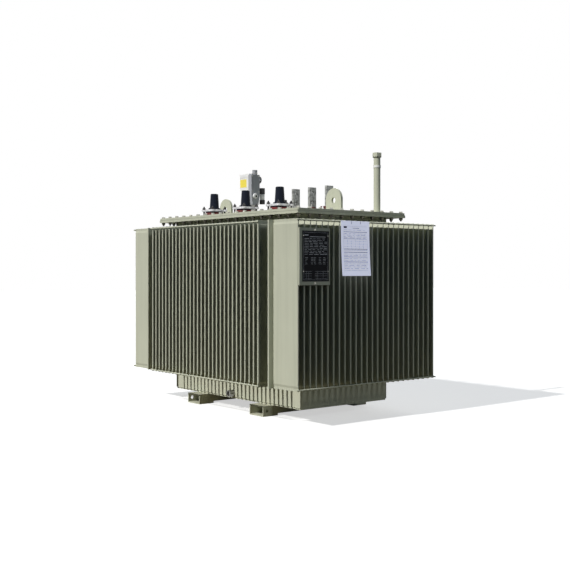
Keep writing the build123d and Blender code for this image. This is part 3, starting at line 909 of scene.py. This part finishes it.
PLATE_MARGIN = 8 * MM
PLATE_THIN = 0.8 * MM
PLATE_PROUD = 0.25 * MM
PLATE_HEADINGS = ((0.04, 0.2, 17 * MM, 12 * MM), (0.25, 0.9, 24 * MM, 21.5 * MM))
PLATE_FIRST_ROW = 34 * MM
PLATE_ROW = 8.2 * MM
PLATE_FULL_ROWS = 11
PLATE_ROW_SHARES = (0.04, 0.88, 0.96)
PLATE_STROKES = (0.07, 0.2)
PLATE_STROKE_LINES = (1.2, 2.4)
PLATE_COLUMN_ROWS = 5
PLATE_COLUMN_LINE = 1.4 * MM
PLATE_COLUMN_STROKES = (0.05, 0.12)
PLATE_COLUMNS = (0.06, 0.3, 0.42, 0.62, 0.8)
PLATE_TABLE_UPRIGHTS = (0.12, 0.2, 0.55, 0.8)
PLATE_TABLE_LEVELS = (6 * MM, 20 * MM, 32 * MM, 44 * MM)
PLATE_TABLE_HALVES = ((0.05, 0.34), (0.46, 0.95))


def plate_lines():
    lines = bmesh.new()
    low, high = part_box("rating_plate")
    left, right = low.y + PLATE_MARGIN, high.y - PLATE_MARGIN
    top, bottom = high.z - PLATE_MARGIN, low.z + PLATE_MARGIN
    width = right - left

    def bar(y0, y1, z0, z1):
        slab(lines, (high.x, y0, z0), (high.x + PLATE_PROUD, y1, z1))

    def rule(share0, share1, z0, z1):
        bar(left + share0 * width, left + share1 * width, z0, z1)

    for y in (left, right - PLATE_THIN):
        bar(y, y + PLATE_THIN, bottom, top)
    for z in (bottom, top - PLATE_THIN):
        bar(left, right, z, z + PLATE_THIN)
    for share0, share1, under, over in PLATE_HEADINGS:
        rule(share0, share1, top - under, top - over)
    z = top - PLATE_FIRST_ROW
    for _ in range(PLATE_FULL_ROWS):
        for share0, share1 in strokes(*PLATE_ROW_SHARES, PLATE_STROKES):
            rule(share0, share1, z, z + dice.uniform(*PLATE_STROKE_LINES) * MM)
        z -= PLATE_ROW
    for _ in range(PLATE_COLUMN_ROWS):
        z -= PLATE_ROW
        for share in PLATE_COLUMNS:
            rule(share, share + dice.uniform(*PLATE_COLUMN_STROKES), z, z + PLATE_COLUMN_LINE)
    for share in PLATE_TABLE_UPRIGHTS:
        y = left + share * width
        bar(y, y + PLATE_THIN, bottom + PLATE_TABLE_LEVELS[0], bottom + PLATE_TABLE_LEVELS[-1])
    for level in PLATE_TABLE_LEVELS:
        for share0, share1 in PLATE_TABLE_HALVES:
            rule(share0, share1, bottom + level, bottom + level + PLATE_THIN)
    add_piece("plate_lines", lines, "plate_face", "line_light")


PLATE_SCREW = in_mm((2.8, 0), (2.8, 0.9), (1.8, 1.8))
PLATE_SCREW_INSET = 7 * MM
PLATE_SCREW_LOW = 818 * MM
PLATE_SCREW_HIGH = 1005 * MM
BRACKET_BOLT = 5 * MM
BRACKET_BOLT_INSET = 10 * MM


def plate_screws():
    screws = bmesh.new()
    low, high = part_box("rating_plate")
    for y in (low.y + PLATE_SCREW_INSET, high.y - PLATE_SCREW_INSET):
        for z in (PLATE_SCREW_LOW, PLATE_SCREW_HIGH):
            turn(screws, PLATE_SCREW, at(high.x, y, z, "right"), 14)
    low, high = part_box("rating_plate_bracket")
    for z in (high.z - BRACKET_BOLT_INSET, low.z + BRACKET_BOLT_INSET):
        bolt_head(screws, at(high.x, (low.y + high.y) / 2, z, "right"), BRACKET_BOLT)
    add_piece("plate_screws", screws, "fitting_steel", "bolt_zinc")


# Paper sheet: plain ruled lines with no words. Places on it are shares of its width from
# its -Y edge and of its height from its top.

PAPER_LIFT = 13 * MM
PAPER_BOW = 4 * MM


def paper_surface(z):
    """The outer face of the curled sheet at a height: it hangs from its top and curls out below."""
    low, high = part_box("paper_sheet")
    down = (high.z - z) / (high.z - low.z)
    return high.x - PAPER_LIFT * (1 - down) - 4 * PAPER_BOW * down * (1 - down)


PAPER_LEFT, PAPER_RIGHT = 0.08, 0.92
PAPER_HEADING_DROP = 40 * MM
PAPER_HEADINGS = ((0.09, 0.2, 10 * MM), (0.4, 0.64, 2.6 * MM))
# Lines across the sheet, each with its thickness
PAPER_RULES = (
    (0.1, 0.8 * MM),
    (0.206, 2.4 * MM),
    (0.33, 1.8 * MM),
    (0.37, 0.8 * MM),
    (0.42, 0.8 * MM),
    (0.47, 0.8 * MM),
    (0.517, 2.8 * MM),
    (0.536, 1.4 * MM),
    (0.575, 2.8 * MM),
    (0.66, 2.4 * MM),
    (0.752, 2.8 * MM),
    (0.9, 1.2 * MM),
)
# Broken rows
PAPER_ROWS = (0.168, 0.236, 0.262, 0.29, 0.312, 0.605, 0.632, 0.69, 0.72, 0.785, 0.812, 0.84, 0.868)
PAPER_LAST_STROKE = 0.86
PAPER_STROKES = (0.05, 0.2)
PAPER_ROW_LINE = 1.5 * MM
# The table's upright lines
PAPER_COLUMNS = (0.08, 0.22, 0.36, 0.5, 0.64, 0.78, 0.92)
PAPER_TABLE_TOP, PAPER_TABLE_FOOT = 0.34, 0.515
PAPER_COLUMN_LINE = 0.7 * MM
PAPER_COLUMN_STEPS = 16
INK_UNDER = 0.3 * MM
INK_PROUD = 0.2 * MM


def paper_lines():
    lines = bmesh.new()
    low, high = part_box("paper_sheet")
    width = high.y - low.y
    height = high.z - low.z

    def mark(face, y0, y1, z0, z1):
        slab(lines, (face - INK_UNDER, y0, z0), (face + INK_PROUD, y1, z1))

    def rule(share0, share1, z, thickness):
        mark(paper_surface(z), low.y + share0 * width, low.y + share1 * width, z, z + thickness)

    def upright_rule(share, z0, z1):
        y = low.y + share * width
        for step in range(PAPER_COLUMN_STEPS):
            start = z0 + (z1 - z0) * step / PAPER_COLUMN_STEPS
            end = z0 + (z1 - z0) * (step + 1) / PAPER_COLUMN_STEPS
            face = (paper_surface(start) + paper_surface(end)) / 2
            mark(face, y, y + PAPER_COLUMN_LINE, start, end)

    for share0, share1, thickness in PAPER_HEADINGS:
        rule(share0, share1, high.z - PAPER_HEADING_DROP, thickness)
    for drop, thickness in PAPER_RULES:
        rule(PAPER_LEFT, PAPER_RIGHT, high.z - drop * height, thickness)
    for drop in PAPER_ROWS:
        for share0, share1 in strokes(PAPER_LEFT, PAPER_LAST_STROKE, PAPER_RIGHT, PAPER_STROKES):
            rule(share0, share1, high.z - drop * height, PAPER_ROW_LINE)
    for share in PAPER_COLUMNS:
        upright_rule(share, high.z - PAPER_TABLE_FOOT * height, high.z - PAPER_TABLE_TOP * height)
    add_piece("paper_lines", lines, "paper", "line_ink")


# Two wire ties, each bent over the top rod and down the sheet's face

TIE_WIRE = 1.1 * MM
TIE_CLEARANCE = 2 * MM
TIE_SHIFT = 0.5 * MM
# Each tie's share of the sheet's width, and how far it leans along the rod
TIE_PLACES = ((0.33, 5 * MM), (0.71, -5 * MM))
# Degrees round the rod, from under it at the back to its outer side
TIE_BEND = (-150, 90)
TIE_BEND_STEPS = 10
# How far down the sheet each point of the tail is, and its share of the lean
TIE_TAIL = ((8 * MM, 1.2), (17 * MM, 1.6))
TIE_TAIL_LEVEL = 14 * MM
TIE_TAIL_PROUD = 1.4 * MM


def paper_ties():
    ties = bmesh.new()
    low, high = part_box("paper_sheet")
    rod_low, rod_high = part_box("right_fin_rods")
    rod_x = (rod_low.x + rod_high.x) / 2 - TIE_SHIFT
    rod_z = rod_high.z - ROD_RADIUS
    reach = ROD_RADIUS + TIE_CLEARANCE
    face = paper_surface(high.z - TIE_TAIL_LEVEL) + TIE_TAIL_PROUD
    for share, lean in TIE_PLACES:
        y = low.y + share * (high.y - low.y)
        points = []
        for step in range(TIE_BEND_STEPS + 1):
            done = step / TIE_BEND_STEPS
            angle = math.radians(TIE_BEND[0] + (TIE_BEND[1] - TIE_BEND[0]) * done)
            points.append((rod_x + reach * math.sin(angle), y + lean * done, rod_z + reach * math.cos(angle)))
        for drop, leaning in TIE_TAIL:
            points.append((face, y + leaning * lean, high.z - drop))
        tube(ties, points, TIE_WIRE, 8)
    add_piece("paper_ties", ties, "fitting_steel", "wire")


# Light, floor and camera

# Where each light comes from, its strength, its width in degrees and its tint
SUNS = {
    "key": ((-0.03, -0.75, 0.65), 3.4, 1.6, (1.0, 0.99, 0.965)),
    "fill_right": ((0.9, 0.06, 0.5), 0.42, 8.0, (0.92, 0.98, 1.0)),
    "fill_back": ((-0.5, 0.75, 0.55), 1.2, 40.0, (0.94, 0.98, 1.0)),
}
SKY = (0.005, 0.022, 0.045, 1.0)
FLOOR_SIZE = 60.0
# The light that the floor throws up is warm near the object and fades away from it
FLOOR_BOUNCE_NEAR = 0.2
FLOOR_BOUNCE_FAR = 0.01
FLOOR_NEAR_RADIUS = 1.1
FLOOR_FAR_RADIUS = 1.7
FLOOR_WARMTH = (1.0, 0.88, 0.52)
# What shows of the floor is pale and glows a little, so that the shadow stays soft
FLOOR_SEEN = 0.6
FLOOR_GLOW = 0.56
FLOOR_ROUGHNESS = 0.9


def seen_directly(tree):
    """1 for what the camera sees, straight or in a reflection or through glass."""
    rays = tree.nodes.new("ShaderNodeLightPath").outputs
    either = combine(tree, "MAXIMUM", rays["Is Camera Ray"], rays["Is Glossy Ray"])
    return combine(tree, "MAXIMUM", either, rays["Is Transmission Ray"])


def make_world():
    world = bpy.data.worlds.new("studio")
    world.use_nodes = True
    tree = world.node_tree
    background = tree.nodes["Background"]
    shade = mix(tree, seen_directly(tree), SKY, WHITE)
    tree.links.new(shade, background.inputs["Color"])
    background.inputs["Strength"].default_value = 1.0
    bpy.context.scene.world = world


def make_suns():
    for name, (source, strength, width, tint) in SUNS.items():
        lamp = bpy.data.lights.new(name, "SUN")
        lamp.energy = strength
        lamp.angle = math.radians(width)
        lamp.color = tint
        sun = bpy.data.objects.new(name, lamp)
        sun.rotation_euler = Vector(source).to_track_quat("Z", "Y").to_euler()
        bpy.context.scene.collection.objects.link(sun)


def floor_finish():
    material, tree, shader = new_material("floor_white")
    shader.inputs["Roughness"].default_value = FLOOR_ROUGHNESS
    shader.inputs["Specular IOR Level"].default_value = 0.0
    shader.inputs["Emission Color"].default_value = WHITE
    place = tree.nodes.new("ShaderNodeTexCoord")
    from_middle = tree.nodes.new("ShaderNodeVectorMath")
    from_middle.operation = "LENGTH"
    tree.links.new(place.outputs["Object"], from_middle.inputs[0])
    away = remap(tree, from_middle.outputs["Value"], FLOOR_NEAR_RADIUS, FLOOR_FAR_RADIUS)
    bounce = mix(tree, away, scaled(FLOOR_WARMTH, FLOOR_BOUNCE_NEAR), scaled(FLOOR_WARMTH, FLOOR_BOUNCE_FAR))
    seen = seen_directly(tree)
    tree.links.new(mix(tree, seen, bounce, scaled(WHITE, FLOOR_SEEN)), shader.inputs["Base Color"])
    tree.links.new(remap(tree, seen, 0.0, 1.0, 0.0, FLOOR_GLOW), shader.inputs["Emission Strength"])
    return material


def make_floor():
    mesh = bpy.data.meshes.new("floor")
    half = FLOOR_SIZE / 2
    corners = [(-half, -half, 0), (half, -half, 0), (half, half, 0), (-half, half, 0)]
    mesh.from_pydata(corners, [], [(0, 1, 2, 3)])
    mesh.materials.append(floor_finish())
    floor = bpy.data.objects.new("floor", mesh)
    bpy.context.scene.collection.objects.link(floor)


CAMERA_PLACE = (4.52355, -3.6055, 0.8213)
CAMERA_AZIMUTH = math.radians(50.96)
CAMERA_LENS = 58.94
CAMERA_SENSOR = 36.0
CAMERA_SHIFT = -14.2 / 570


def make_camera():
    lens = bpy.data.cameras.new("camera")
    lens.lens = CAMERA_LENS
    lens.sensor_width = CAMERA_SENSOR
    lens.shift_y = CAMERA_SHIFT
    camera = bpy.data.objects.new("camera", lens)
    camera.location = CAMERA_PLACE
    camera.rotation_euler = (math.pi / 2, 0.0, CAMERA_AZIMUTH)
    bpy.context.scene.collection.objects.link(camera)
    bpy.context.scene.camera = camera


cover_bolts()
cover_joint()
tank_seams()
skid_seams()
cover_seams()
fin_welds()
hv_fittings()
lv_fittings()
relay_screws()
relay_window()
relay_dial()
relay_gauge()
relay_box()
relay_glands()
filler_fittings()
capped_sockets()
tap_fittings()
plate_lines()
plate_screws()
paper_lines()
paper_ties()
make_world()
make_suns()
make_floor()
make_camera()
bpy.context.scene.view_settings.view_transform = "Standard"
